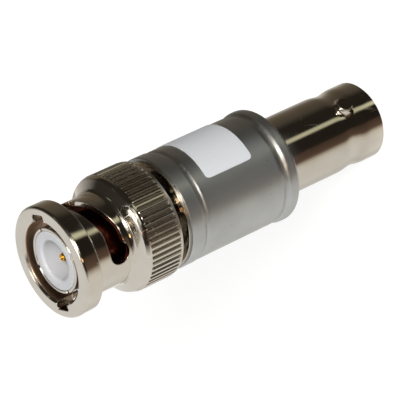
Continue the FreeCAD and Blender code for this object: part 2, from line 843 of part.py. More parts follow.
def shunt_disc():
    return turned("shunt_disc", box_corners("disc_hole_radius", "spigot_radius", "disc_base", "disc_top"))


def spacer_sleeve(label, low, high):
    """earthing sleeve that clamps the disc's rim against a spigot"""
    return turned(label, box_corners("spacer_inner_radius", "spigot_radius", low, high))


def centre_stub():
    """eyelet through the disc that joins the two series resistors"""
    return turned("centre_stub", [
        ("lead_hole_radius", "stub_base"),
        ("stub_flange_radius", "stub_base"),
        ("stub_flange_radius", "disc_base"),
        ("stub_radius", "disc_base"),
        ("stub_radius", "disc_top"),
        ("stub_flange_radius", "disc_top"),
        ("stub_flange_radius", "stub_top"),
        ("lead_hole_radius", "stub_top"),
    ])


def series_rod(label, near, way):
    """ceramic rod of one series resistor"""
    low = f"{near} {way} (resistor_gap + cap_wall)"
    high = f"{near} {way} (resistor_gap + resistor_length - cap_wall)"
    if way == "-":
        low, high = high, low
    return turned(label, box_corners("0", "resistor_radius", low, high))


def end_cap(label, face, way, lead_end):
    """pressed cap with its wire; way is the side of the end face that the rod lies on"""
    back = "-" if way == "+" else "+"
    return turned(label, [
        ("0", f"{face} {way} cap_wall"),
        ("resistor_radius", f"{face} {way} cap_wall"),
        ("resistor_radius", f"{face} {way} cap_depth"),
        ("resistor_radius + cap_wall", f"{face} {way} cap_depth"),
        ("resistor_radius + cap_wall", f"{face}"),
        ("lead_radius", f"{face}"),
        ("lead_radius", f"{face} {back} {lead_end}"),
        ("0", f"{face} {back} {lead_end}"),
    ])


def series_resistor(side, near, far, way):
    """a rod with a cap at each end, from the stub out to the pin or the socket"""
    back = "-" if way == "+" else "+"
    inner_face = f"{near} {way} resistor_gap"
    outer_face = f"{near} {way} (resistor_gap + resistor_length)"
    inner_lead = "(resistor_gap + stub_flange_thickness)"
    gap = f"({far} - {near} - resistor_gap - resistor_length)" if way == "+" else \
        f"({near} - resistor_gap - resistor_length - {far})"
    series_rod(f"series_rod_{side}", near, way)
    end_cap(f"inner_cap_{side}", f"({inner_face})", way, inner_lead)
    end_cap(f"outer_cap_{side}", f"({outer_face})", back, f"({gap} + lead_depth)")


jack_body()
jack_insulator()
jack_bead()
jack_socket()
housing_tube()
label()
plug_body()
retaining_ring()
outer_contact()
plug_insulator()
plug_bead()
plug_pin()
coupling_nut()
thrust_washer()
gasket()
spring_washers()
shunt_disc()
spacer_sleeve("rear_spacer", "rear_spigot_top", "disc_base")
spacer_sleeve("front_spacer", "disc_top", "front_spigot_base")
centre_stub()
series_resistor("front", "stub_top", "pin_base", "+")
series_resistor("rear", "stub_base", "socket_top", "-")

doc.recompute()
pieces = [thing for thing in doc.Objects if thing.isDerivedFrom("PartDesign::Body")]
pieces += [thing for thing in doc.Objects if thing.TypeId == "Part::Feature"]

faults = []
for thing in doc.Objects:
    if "Invalid" in thing.State or "Error" in thing.State:
        faults.append(f"{thing.Label}: {thing.State}")
for piece in pieces:
    if piece.Shape.isNull() or not piece.Shape.isValid() or not piece.Shape.Solids:
        faults.append(f"{piece.Label}: the shape is not a valid solid")
if faults:
    raise RuntimeError("; ".join(faults))

os.makedirs("parts", exist_ok=True)
for piece in pieces:
    piece.Shape.exportStep(os.path.join("parts", f"{piece.Label}.step"))
print(len(pieces), "pieces written")
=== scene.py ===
import json
import math

import bmesh
import bpy
import numpy as np
from mathutils import Matrix, Vector

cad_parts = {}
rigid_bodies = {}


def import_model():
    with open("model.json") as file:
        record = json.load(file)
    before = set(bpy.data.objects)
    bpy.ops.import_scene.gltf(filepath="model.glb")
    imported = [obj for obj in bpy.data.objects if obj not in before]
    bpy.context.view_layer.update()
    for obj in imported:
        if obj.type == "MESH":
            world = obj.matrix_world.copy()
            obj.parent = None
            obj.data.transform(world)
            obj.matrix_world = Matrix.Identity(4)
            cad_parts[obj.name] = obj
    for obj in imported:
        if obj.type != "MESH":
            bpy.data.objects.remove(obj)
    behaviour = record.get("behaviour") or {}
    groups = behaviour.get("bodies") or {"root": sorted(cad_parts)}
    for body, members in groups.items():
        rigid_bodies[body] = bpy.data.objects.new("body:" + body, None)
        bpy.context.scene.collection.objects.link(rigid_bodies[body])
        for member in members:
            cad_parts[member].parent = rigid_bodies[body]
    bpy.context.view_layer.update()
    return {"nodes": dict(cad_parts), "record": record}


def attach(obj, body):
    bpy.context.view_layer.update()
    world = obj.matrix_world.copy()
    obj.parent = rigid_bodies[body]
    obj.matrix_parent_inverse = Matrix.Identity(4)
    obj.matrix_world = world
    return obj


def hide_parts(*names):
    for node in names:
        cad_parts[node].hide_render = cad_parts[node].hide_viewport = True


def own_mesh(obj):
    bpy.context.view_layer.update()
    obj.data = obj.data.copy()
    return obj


# In-line coaxial attenuator, standing on its jack end with the plug on top. Lengths in the dictionaries are mm,
# heights count from the jack's end face, angles are degrees about the axis from +X.

mm = 0.001

for leftOver in list(bpy.data.objects):
    bpy.data.objects.remove(leftOver)
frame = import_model()
scene = bpy.context.scene
print("frame loaded:", len(frame["nodes"]), "pieces")


# every corner (across, up, rounding) of a closed outline becomes an arc of that radius, which touches both
# sides at rounding * tan(half the turning angle) from the corner; works on a whole stack of outlines at once
def roundCorners(corners, steps=6):
    corners = np.asarray(corners, float)
    point = corners[..., :2]
    size = corners[..., 2:3]
    before = point - np.roll(point, 1, axis=-2)
    after = np.roll(point, -1, axis=-2) - point
    before /= np.linalg.norm(before, axis=-1, keepdims=True)
    after /= np.linalg.norm(after, axis=-1, keepdims=True)
    cross = before[..., :1] * after[..., 1:] - before[..., 1:] * after[..., :1]
    turn = np.arctan2(cross, (before * after).sum(-1, keepdims=True))
    side = np.concatenate([-before[..., 1:], before[..., :1]], -1) * np.sign(turn)
    centre = point - before * size * np.tan(np.abs(turn) / 2) + side * size
    angle = turn[..., None, :] * np.linspace(0, 1, steps)[:, None]
    spoke = -side[..., None, :] * size[..., None, :]
    cos, sin = np.cos(angle), np.sin(angle)
    arc = centre[..., None, :] + np.concatenate([spoke[..., :1] * cos - spoke[..., 1:] * sin,
                                                 spoke[..., :1] * sin + spoke[..., 1:] * cos], -1)
    return arc.reshape(arc.shape[:-3] + (-1, 2))


# corners, with names in place of the lengths that a piece's dictionary holds
def named(look, *corners):
    return [[look.get(value, value) for value in corner] for corner in corners]


# quads over a grid of points stored row after row; a closed direction joins its last line to its first
def gridFaces(rows, columns, closeRows=True, closeColumns=True):
    down, along = np.meshgrid(np.arange(rows if closeRows else rows - 1),
                              np.arange(columns if closeColumns else columns - 1), indexing="ij")
    nextDown, nextAlong = (down + 1) % rows, (along + 1) % columns
    return np.stack([down * columns + along, down * columns + nextAlong,
                     nextDown * columns + nextAlong, nextDown * columns + along], -1).reshape(-1, 4)


# points of a surface of revolution: x = radius * cos(angle), y = radius * sin(angle)
def polar(radius, angle, height):
    radius, angle, height = np.broadcast_arrays(radius, angle, height)
    return np.stack([radius * np.cos(angle), radius * np.sin(angle), height], -1).reshape(-1, 3)


# a (radius, height) profile carried once round the axis; an open profile starts and ends on the axis
def turnedShell(profile, columns, closed=True):
    angle = np.linspace(0, 2 * np.pi, columns, endpoint=False)
    points = polar(profile[:, :1], angle, profile[:, 1:])
    return points, gridFaces(len(profile), columns, closeRows=closed)


# radius over height: straight between the given places, then averaged over a bell curve of width blur
def softOutline(outline, blur, step=0.05):
    height, radius = np.array(outline).T
    dense = np.arange(height[0], height[-1] + step / 2, step)
    reach = int(4 * blur / step)
    bell = np.exp(-0.5 * (np.arange(-reach, reach + 1) * step / blur) ** 2)
    padded = np.pad(np.interp(dense, height, radius), reach, mode="edge")
    return np.convolve(padded, bell / bell.sum(), mode="valid"), dense


# several shells as one
def joined(*shells):
    starts = np.cumsum([0] + [len(points) for points, faces in shells[:-1]])
    return (np.concatenate([points for points, faces in shells]),
            np.concatenate([faces + start for (points, faces), start in zip(shells, starts)]))


# a shell of points in mm and quads becomes a piece: what coincides is merged, faces turn outwards, edges
# steeper than sharp stay crisp, and shading is weighted by face area
def makePiece(name, shell, material, body, replaced=(), bevel=0.0, sharp=38):
    points, faces = shell
    mesh = bpy.data.meshes.new(name)
    mesh.from_pydata((points * mm).tolist(), [], faces.tolist())
    mesh.validate()
    work = bmesh.new()
    work.from_mesh(mesh)
    bmesh.ops.remove_doubles(work, verts=work.verts, dist=0.0004 * mm)
    bmesh.ops.dissolve_degenerate(work, edges=work.edges, dist=0.0004 * mm)
    bmesh.ops.recalc_face_normals(work, faces=work.faces)
    work.to_mesh(mesh)
    work.free()
    mesh.shade_smooth()
    mesh.set_sharp_from_angle(angle=math.radians(sharp))
    mesh.materials.append(material)
    piece = bpy.data.objects.new(name, mesh)
    scene.collection.objects.link(piece)
    if bevel:
        edges = piece.modifiers.new("rounded edges", "BEVEL")
        edges.width = bevel * mm
        edges.segments = 3
        edges.limit_method = "ANGLE"
        edges.angle_limit = math.radians(50)
    even = piece.modifiers.new("even shading", "WEIGHTED_NORMAL")
    even.keep_sharp = True
    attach(piece, body)
    if replaced:
        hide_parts(*replaced)
    return piece


# sRGB hex to linear
def hexColour(text):
    values = np.array([int(text[i:i + 2], 16) for i in (1, 3, 5)]) / 255
    linear = np.where(values <= 0.04045, values / 12.92, ((values + 0.055) / 1.055) ** 2.4)
    return (*linear.tolist(), 1.0)


# a link from a socket, or from a node's first output
def link(tree, source, target):
    tree.links.new(source.outputs[0] if isinstance(source, bpy.types.Node) else source, target)


# one node: links feed its inputs (by name or number), inputs sets plain values, settings sets its properties
def addNode(tree, kind, links={}, inputs={}, **settings):
    node = tree.nodes.new("ShaderNode" + kind)
    for key, setting in settings.items():
        setattr(node, key, setting)
    for key, setting in inputs.items():
        node.inputs[key].default_value = setting
    for key, source in links.items():
        link(tree, source, node.inputs[key])
    return node


# empty material with a shader, its output and the Object coordinates
def newMaterial(name, kind="BsdfPrincipled"):
    material = bpy.data.materials.new(name)
    material.use_nodes = True
    tree = material.node_tree
    tree.nodes.clear()
    shader = addNode(tree, kind)
    addNode(tree, "OutputMaterial", {"Surface": shader})
    return material, tree, shader, addNode(tree, "TexCoord").outputs["Object"]


# colour, roughness and relief of a finish go to its shader
def feed(tree, shader, colour, rough, normal, metallic=1.0):
    for name, source in (("Base Color", colour), ("Roughness", rough), ("Normal", normal)):
        link(tree, source, shader.inputs[name])
    shader.inputs["Metallic"].default_value = metallic


# a place split into its coordinates, and its distance from the axis
def fromAxis(tree, place):
    flat = addNode(tree, "VectorMath", {0: place}, {1: (1.0, 1.0, 0.0)}, operation="MULTIPLY")
    out = addNode(tree, "VectorMath", {0: flat}, operation="LENGTH")
    return addNode(tree, "SeparateXYZ", {"Vector": place}), out.outputs["Value"]


# a value from one range to another, held at its ends
def spread(low, high, fromLow=0.0, fromHigh=1.0):
    return {"To Min": low, "To Max": high, "From Min": fromLow, "From Max": fromHigh}


# several steps multiplied: each is a value, what it turns from and to, and the mm between which it does so
def mask(tree, *steps):
    product = None
    for value, low, high, start, end in steps:
        step = addNode(tree, "MapRange", {"Value": value}, spread(low, high, start * mm, end * mm))
        product = step if product is None else addNode(tree, "Math", {0: product, 1: step}, operation="MULTIPLY")
    return product


nickelLook = {
    "bright": "#cfc9bf", "dull": "#bfb8ac", "smooth": 0.06, "hazed": 0.15, "cloud": 2.4,
    "hairline": 0.11, "hairlineDepth": 0.0012, "scuff": 1.3, "scuffShare": 0.29,
    # knurl: painted shade and roughness of its grooves, its heights and radii, and the grain of the grit in it
    "knurlPaintedShade": "#938b7e", "knurlRough": 0.48, "knurlFrom": 34.35, "knurlTo": 38.75, "knurlRadius": 6.8,
    "grooveTo": 7.11, "crestFrom": 7.16, "grit": 0.3, "gritDepth": 0.006,
    # inside of the nut, bar the contact's tip: painted reflection on the bore, painted shade on the contact
    "borePaintedReflection": "#c2a68e", "contactPaintedShade": "#3f1d17", "insideRough": 0.38, "insideFrom": 37.3,
    "insideRadius": 5.0, "tipFrom": 46.8, "tipRadius": 4.3,
    # how far edges look rounded, and from which height up
    "edgeBreak": 0.2, "edgeFrom": 40.8,
}


# nickel plate on turned brass, a warm mirror: clouds of faint haze, hairlines that run round from wiping, small
# scuffs, a rougher knurl with painted shade in its grooves, and painted shade and reflection inside the nut
def brightNickel():
    n = nickelLook
    material, tree, shader, place = newMaterial("bright nickel on turned brass")
    cloud = addNode(tree, "TexNoise", {"Vector": place}, {"Scale": 1000 / n["cloud"], "Detail": 4.0})
    haze = addNode(tree, "MapRange", {"Value": cloud}, spread(n["smooth"], n["hazed"], 0.35, 0.75))
    # hairlines lie across the axis, so their noise is squeezed along it; real ones are ten times finer
    stretched = addNode(tree, "Mapping", {"Vector": place}, {"Scale": (0.12, 0.12, 1.0)})
    hairline = addNode(tree, "TexNoise", {"Vector": stretched},
                       {"Scale": 1000 / n["hairline"], "Detail": 3.0, "Roughness": 0.6})
    # scuffs are the borders of long cells, and show only where a coarser noise is high
    scuffPlace = addNode(tree, "Mapping", {"Vector": place}, {"Scale": (1.0, 1.0, 0.35)})
    scuffs = addNode(tree, "TexVoronoi", {"Vector": scuffPlace},
                     {"Scale": 1000 / n["scuff"], "Randomness": 1.0}, feature="DISTANCE_TO_EDGE")
    rare = addNode(tree, "TexNoise", {"Vector": place}, {"Scale": 1000 / (3 * n["scuff"])})
    thin = addNode(tree, "MapRange", {"Value": scuffs.outputs["Distance"]}, spread(1.0, 0.0, 0.0, 0.035))
    where = addNode(tree, "MapRange", {"Value": rare}, spread(0.0, n["scuffShare"], 0.56, 0.66))
    scuff = addNode(tree, "Math", {0: thin, 1: where}, operation="MULTIPLY")
    scuffed = addNode(tree, "Math", {0: haze, 1: scuff}, operation="ADD", use_clamp=True)

    apart, out = fromAxis(tree, place)
    height = apart.outputs[2]
    # 1 in the knurl's grooves, which get painted shade and more roughness, and nearly 0 on its crests
    knurl = mask(tree, (height, 0, 1, n["knurlFrom"] - 0.05, n["knurlFrom"] + 0.05),
                 (height, 1, 0, n["knurlTo"] - 0.05, n["knurlTo"] + 0.05),
                 (out, 0, 1, n["knurlRadius"], n["knurlRadius"] + 0.15),
                 (out, 1, 0.05, n["grooveTo"], n["crestFrom"]))
    # 1 inside the nut, where colour stands in for light: painted warm reflection on the bore, painted shade on the
    # contact
    aroundTip = mask(tree, (out, 0, 1, n["tipRadius"], n["tipRadius"] + 0.1))
    belowTip = mask(tree, (height, 1, 0, n["tipFrom"] - 0.3, n["tipFrom"]))
    notTip = addNode(tree, "Math", {0: belowTip, 1: aroundTip}, operation="MAXIMUM")
    within = mask(tree, (height, 0, 1, n["insideFrom"], n["insideFrom"] + 0.1),
                  (out, 1, 0, n["insideRadius"] - 0.02, n["insideRadius"] + 0.03))
    inside = addNode(tree, "Math", {0: within, 1: notTip}, operation="MULTIPLY")

    plate = addNode(tree, "Mix", {"Factor": cloud},
                    {6: hexColour(n["bright"]), 7: hexColour(n["dull"])}, data_type="RGBA")
    # the knurl's grooves are painted darker: painted shade
    plate = addNode(tree, "Mix", {"Factor": knurl, 6: plate.outputs[2]}, {7: hexColour(n["knurlPaintedShade"])},
                    data_type="RGBA")
    # painted shade, dark red as the rubber's reflection, on the contact; painted warm reflection on the bore
    bare = addNode(tree, "Mix", {"Factor": aroundTip},
                   {6: hexColour(n["contactPaintedShade"]), 7: hexColour(n["borePaintedReflection"])}, data_type="RGBA")
    tint = addNode(tree, "Mix", {"Factor": inside, 6: plate.outputs[2], 7: bare.outputs[2]}, data_type="RGBA")
    grit = addNode(tree, "TexNoise", {"Vector": place}, {"Scale": 1000 / n["grit"], "Detail": 3.0})
    gritRough = addNode(tree, "MapRange", {"Value": grit},
                        spread(n["knurlRough"] * 0.8, n["knurlRough"] * 1.25, 0.3, 0.7))
    rough = addNode(tree, "Mix", {"Factor": knurl, 2: scuffed, 3: gritRough})
    rough = addNode(tree, "Mix", {"Factor": inside, 2: rough}, {3: n["insideRough"]})

    # edges of the slotted front end are broken by tumbling, so they catch the light
    asMade = addNode(tree, "NewGeometry")
    broken = addNode(tree, "Bevel", {}, {"Radius": n["edgeBreak"] * mm}, samples=6)
    front = mask(tree, (height, 0, 1, n["edgeFrom"], n["edgeFrom"] + 0.1))
    surface = addNode(tree, "Mix", {"Factor": front, 4: asMade.outputs["Normal"], 5: broken},
                      data_type="VECTOR")
    lines = addNode(tree, "Bump", {"Height": hairline, "Normal": surface.outputs[1]},
                    {"Strength": 0.35, "Distance": n["hairlineDepth"] * mm})
    pits = addNode(tree, "Bump", {"Height": grit, "Normal": lines, "Strength": knurl},
                   {"Distance": n["gritDepth"] * mm})
    feed(tree, shader, tint.outputs[2], rough, pits)
    return material


satinLook = {"bright": "#c0c1c0", "dull": "#adaead", "cloud": 4.0, "smooth": 0.44, "rough": 0.52,
             "sheen": 0.26, "sheenShare": 0.35, "grain": 0.14, "speck": 0.8, "speckReach": 0.08,
             "speckColour": "#4a4741"}


# satin nickel on a drawn brass tube, blasted before plating: a broad soft glow under a tighter highlight, a
# fine grain (drawn some three times coarser than the real one), and sparse dark specks where the plate is pitted
def satinNickel():
    s = satinLook
    material, tree, shader, place = newMaterial("satin nickel on drawn brass")
    grain = addNode(tree, "TexNoise", {"Vector": place}, {"Scale": 1000 / s["grain"], "Detail": 2.0})
    cloud = addNode(tree, "TexNoise", {"Vector": place}, {"Scale": 1000 / s["cloud"], "Detail": 3.0})
    cells = addNode(tree, "TexVoronoi", {"Vector": place}, {"Scale": 1000 / s["speck"]})
    some = addNode(tree, "SeparateColor", {"Color": cells.outputs["Color"]})
    chosen = addNode(tree, "Math", {0: some}, {1: 0.6}, operation="GREATER_THAN")
    dot = addNode(tree, "MapRange", {"Value": cells.outputs["Distance"]},
                  spread(1.0, 0.0, s["speckReach"] * 0.5, s["speckReach"]))
    speck = addNode(tree, "Math", {0: chosen, 1: dot}, operation="MULTIPLY")
    plate = addNode(tree, "Mix", {"Factor": cloud},
                    {6: hexColour(s["bright"]), 7: hexColour(s["dull"])}, data_type="RGBA")
    tint = addNode(tree, "Mix", {"Factor": speck, 6: plate.outputs[2]},
                   {7: hexColour(s["speckColour"])}, data_type="RGBA")
    rough = addNode(tree, "MapRange", {"Value": cloud}, spread(s["smooth"], s["rough"], 0.3, 0.7))
    relief = addNode(tree, "Bump", {"Height": grain}, {"Strength": 0.25, "Distance": 0.02 * mm})
    pits = addNode(tree, "Bump", {"Height": speck, "Normal": relief},
                   {"Strength": 0.6, "Distance": 0.03 * mm}, invert=True)
    feed(tree, shader, tint.outputs[2], rough, pits)
    tops = addNode(tree, "BsdfPrincipled", {"Base Color": tint.outputs[2], "Normal": pits},
                   {"Metallic": 1.0, "Roughness": s["sheen"]})
    both = addNode(tree, "MixShader", {1: shader, 2: tops}, {0: s["sheenShare"]})
    link(tree, both, tree.nodes["Material Output"].inputs["Surface"])
    return material


# the plainer finishes: two near colours and a roughness that vary with one grain, and its shallow relief
def grainedFinish(name, colour, second, roughness, grain, depth, metallic=0.0, subsurface=0.0):
    material, tree, shader, place = newMaterial(name)
    noise = addNode(tree, "TexNoise", {"Vector": place}, {"Scale": 1000 / grain, "Detail": 3.0})
    tint = addNode(tree, "Mix", {"Factor": noise}, {6: hexColour(colour), 7: hexColour(second)},
                   data_type="RGBA")
    rough = addNode(tree, "MapRange", {"Value": noise}, spread(roughness * 0.85, roughness * 1.15, 0.3, 0.7))
    relief = addNode(tree, "Bump", {"Height": noise}, {"Strength": 0.3, "Distance": depth * mm})
    feed(tree, shader, tint.outputs[2], rough, relief, metallic)
    if subsurface:
        shader.inputs["Subsurface Weight"].default_value = subsurface
        shader.inputs["Subsurface Radius"].default_value = (1.0, 1.0, 1.0)
        shader.inputs["Subsurface Scale"].default_value = 0.5 * mm
    return material


finishes = {
    "bright_nickel": brightNickel(),
    "satin_nickel": satinNickel(),
    # coated film: a cool white with a slight sheen
    "label_paper": grainedFinish("white coated label film", "#e6e9ee", "#e0e4ea", 0.4, 0.35, 0.004),
    # rolled and polished strip, bluer than nickel
    "spring_steel": grainedFinish("bright spring steel", "#a9a8a5", "#9c9b98", 0.27, 0.2, 0.006, metallic=1.0),
    # moulded rubber, dull and deep red
    "silicone": grainedFinish("dark red silicone rubber", "#8e2318", "#7c1d13", 0.5, 0.25, 0.02),
    # turned fluoropolymer, waxy: light sinks in a little and fills its shadows
    "ptfe": grainedFinish("turned white fluoropolymer", "#d8dade", "#d2d4d8", 0.42, 0.3, 0.005, subsurface=0.35),
    # hard gold plate, smooth and deep yellow
    "gold": grainedFinish("gold plate on turned brass", "#dba63f", "#cf9a38", 0.17, 0.2, 0.002, metallic=1.0),
    # fired and lapped, chalky
    "ceramic": grainedFinish("fired alumina", "#cfc8ba", "#c4bcad", 0.6, 0.15, 0.01),
    # turned and left bare, so the yellow has dulled a little
    "plain_brass": grainedFinish("bare turned brass", "#c8a25d", "#b9934f", 0.3, 0.2, 0.005, metallic=1.0),
    # hot tinned, soft grey with a slight frost
    "tinned_steel": grainedFinish("tinned pressed steel", "#b5b4b0", "#a7a6a1", 0.34, 0.25, 0.006, metallic=1.0),
}
metal = finishes["bright_nickel"]

slotOf = {row["node"]: row["material_slot"] for row in frame["record"]["subparts"]}
for nodeName, node in frame["nodes"].items():
    for place in node.material_slots:
        place.material = finishes[slotOf[nodeName]]
print("finishes made:", len(finishes))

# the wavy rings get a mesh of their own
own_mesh(frame["nodes"]["spring_washers"])


nutLook = {
    "base": 33.8, "top": 47.8, "bore": 4.95, "neckHole": 4.18, "recess": 5.3, "recessTop": 34.3,
    "shoulderTop": 34.8, "rim": 7.2, "rimTop": 34.45, "crest": 7.25, "knurlTop": 38.7,
    "ridges": 60, "grooveDepth": 0.25, "crestHalf": 0.11, "crestRounding": 0.07, "flankSlope": 2.2,
    "grooveEnd": 0.12, "columnsAside": [0.022, 0.043, 0.064, 0.11, 0.16],
    "edge": 6.97, "edgeHeight": 39.35, "coveBase": 40.08, "coveRounding": 0.82, "split": 40.56,
    "sleeve": 5.57, "flange": 6.83, "flangeBase": 45.5, "frontRounding": 0.42, "backRounding": 0.2,
    "mouth": 46.0, "mouthHalf": 1.075, "mouthDepth": 5.8, "mouthChamfer": 0.3, "rampStartHeight": 43.75,
    "rampEnd": -20.0, "rampEndHeight": 42.15, "slotHalf": 1.1,
    "detent": -50.0, "detentHeight": 41.9, "detentRadius": 1.32,
}


# rear half of the nut: rim, knurl, cove, bore, shoulder and recess in one turned profile. Away from a crest's
# flat the groove's depth follows a quarter circle until it is as steep as the flank, then runs straight down to
# the floor; both ends of the groove are rounded off over grooveEnd.
def gripShell():
    n = nutLook
    profile = roundCorners(named(n,
        ("bore", "shoulderTop", 0.05), ("neckHole", "shoulderTop", 0.05), ("neckHole", "recessTop", 0.05),
        ("recess", "recessTop", 0.05), ("recess", "base", 0.08), (n["rim"] - 0.35, "base", 0.12),
        ("rim", n["base"] + 0.35, 0.12), ("rim", "rimTop", 0.03), ("crest", n["rimTop"] + 0.05, 0.03),
        ("crest", n["knurlTop"] - 0.05, 0.03), ("rim", "knurlTop", 0.03),
        ("rim", n["edgeHeight"] - 0.45, 0.5), ("edge", "edgeHeight", 0.12),
        ("sleeve", "coveBase", "coveRounding"), ("sleeve", n["split"] + 0.6, 0.0001),
        ("bore", n["split"] + 0.6, 0.0001)), 7)
    onCrest = np.flatnonzero(np.isclose(profile[:, 0], n["crest"], atol=1e-6))
    start, stop = onCrest.min(), onCrest.max()
    length = profile[stop, 1] - profile[start, 1]
    ends = (1 - np.cos(np.linspace(0, np.pi / 2, 12))) * n["grooveEnd"]
    inside = np.concatenate([ends[1:], np.linspace(n["grooveEnd"], length - n["grooveEnd"], 8)[1:-1],
                             length - ends[:0:-1]])
    inside = np.stack([np.full(len(inside), n["crest"]), profile[start, 1] + inside], -1)
    profile = np.concatenate([profile[:start + 1], inside, profile[stop:]])
    profile[:, 1] = np.minimum(profile[:, 1], n["split"])
    pitch = 2 * np.pi * n["crest"] / n["ridges"]
    # twelve columns to a ridge, close together on the crest's edges
    flat, aside = 2 * n["crestHalf"], np.array(n["columnsAside"])
    inCell = n["crestHalf"] + np.concatenate([[-flat, 0], aside, pitch - flat - aside[::-1]])
    angle = ((inCell + pitch * np.arange(n["ridges"])[:, None]) / n["crest"]).ravel()
    fromCrest = np.minimum(np.abs(inCell), pitch - np.abs(inCell)) - n["crestHalf"]
    bend = n["crestRounding"] * n["flankSlope"] / math.hypot(1, n["flankSlope"])
    onBend = np.clip(fromCrest, 0, bend)
    groove = n["crestRounding"] - np.sqrt(n["crestRounding"] ** 2 - onBend ** 2)
    groove = np.minimum(groove + n["flankSlope"] * np.clip(fromCrest - bend, 0, None), n["grooveDepth"])
    groove = np.tile(groove, n["ridges"])
    fromEnd = np.minimum(profile[:, 1] - n["rimTop"], n["knurlTop"] - profile[:, 1])
    fade = np.sqrt(1 - (1 - np.clip(fromEnd / n["grooveEnd"], 0, 1)) ** 2) * (profile[:, 0] > n["rim"] + 0.005)
    radius = profile[:, :1] - groove * fade[:, None]
    return polar(radius, angle, profile[:, 1:]), gridFaces(len(profile), len(angle))


# columns of the slotted sleeve over half a turn: angle on either face, and the heights where the slot opens
# and closes. Sideways places in the round detent and the square mouth are equal on both faces, so their angle
# is asin(place / radius); the ramp between them rises evenly with the angle.
def slotColumns():
    n = nutLook
    meet = math.sqrt(n["detentRadius"] ** 2 - (n["detentHeight"] - n["rampEndHeight"] + n["slotHalf"]) ** 2)
    across = np.concatenate([-n["detentRadius"] * np.cos(np.linspace(0, np.pi / 2, 14)),
                             np.linspace(0, meet, 10)[1:]])
    mouth = np.linspace(-n["mouthHalf"], n["mouthHalf"], 13)
    angles = []
    for radius in (n["sleeve"], n["bore"]):
        detent = n["detent"] + np.degrees(np.arcsin(across / radius))
        entry = n["mouth"] + np.degrees(np.arcsin(mouth / radius))
        angles.append(np.concatenate([detent, np.linspace(detent[-1], entry[0], 46)[1:-1], entry,
                                      np.linspace(entry[-1], detent[0] + 180, 22)[1:-1]]))
    kind = np.repeat([0, 1, 2, 3], [len(across), 44, len(mouth), 20])
    sideways = np.zeros(len(kind))
    sideways[kind == 0] = across
    ramp = np.interp(angles[0], [n["rampEnd"], n["mouth"]], [n["rampEndHeight"], n["rampStartHeight"]])
    bow = np.sqrt(np.clip(n["detentRadius"] ** 2 - sideways ** 2, 0, None))
    low = np.where(kind == 0, n["detentHeight"] - bow, ramp - n["slotHalf"])
    high = np.where((kind == 0) & (sideways < 0), n["detentHeight"] + bow, ramp + n["slotHalf"])
    wall = np.interp(angles[0], [angles[0][kind == 3][0], 180 + angles[0][0]],
                     [low[kind == 2][-1], n["detentHeight"]])
    low, high = np.where(kind == 3, wall, low), np.where(kind == 3, wall, high)
    return np.radians(angles[0]), np.radians(angles[1]), low, high, kind, ramp


# slotted sleeve: on each face, every column runs from the cove up to the slot and again from the slot to the
# flange; walls join the two faces along the slot's edges and up the sides of the mouth
def sleeveShell():
    n = nutLook
    angleOut, angleIn, low, high, kind, ramp = slotColumns()
    half = 12
    share = np.linspace(0, 1, half)[:, None]
    # the mouth has no metal above it, so only its two side columns go on, from the ramp's upper edge and from
    # the height where the mouth's far side meets the slot
    start = high.copy()
    firstMouth, lastMouth = np.flatnonzero(kind == 2)[[0, -1]]
    start[firstMouth] = ramp[firstMouth] + n["slotHalf"]
    start[lastMouth] = low[lastMouth]
    inMouth = (kind == 2) & (np.arange(len(kind)) > firstMouth) & (np.arange(len(kind)) < lastMouth)
    start[inMouth] = n["flangeBase"]
    heights = np.concatenate([n["split"] + (low - n["split"]) * share,
                              start + (n["flangeBase"] - start) * share])
    heights = np.concatenate([heights, heights], 1)
    kind = np.concatenate([kind, kind])
    rows, columns = heights.shape
    outer = polar(n["sleeve"], np.concatenate([angleOut, angleOut + np.pi]), heights)
    inner = polar(n["bore"], np.concatenate([angleIn, angleIn + np.pi]), heights)
    out = np.arange(rows * columns).reshape(rows, columns)
    into = out + rows * columns
    outNext, intoNext = np.roll(out, -1, 1), np.roll(into, -1, 1)
    kindNext = np.roll(kind, -1)
    mouthCell = (kind == 2) & (kindNext == 2)
    slotCell = (kind < 3) & (kindNext < 3)
    whole = np.ones(columns, bool)

    def quads(a, b, c, d):
        return np.stack([a, b, c, d], -1).reshape(-1, 4)

    faces = []
    for rowsOf, keep in ((slice(0, half), whole), (slice(half, rows), ~mouthCell)):
        for near, far in ((out, outNext), (into, intoNext)):
            a, b = near[rowsOf][:, keep], far[rowsOf][:, keep]
            faces.append(quads(a[:-1], b[:-1], b[1:], a[1:]))
    roofed = slotCell & ~mouthCell
    for row, keep in ((0, whole), (half - 1, slotCell), (half, roofed), (rows - 1, ~mouthCell)):
        faces.append(quads(out[row][keep], outNext[row][keep], intoNext[row][keep], into[row][keep]))
    for side in (firstMouth, lastMouth, firstMouth + columns // 2, lastMouth + columns // 2):
        a, b = out[half:, side], into[half:, side]
        faces.append(quads(a[:-1], a[1:], b[1:], b[:-1]))
    return np.concatenate([outer, inner]), np.concatenate(faces)


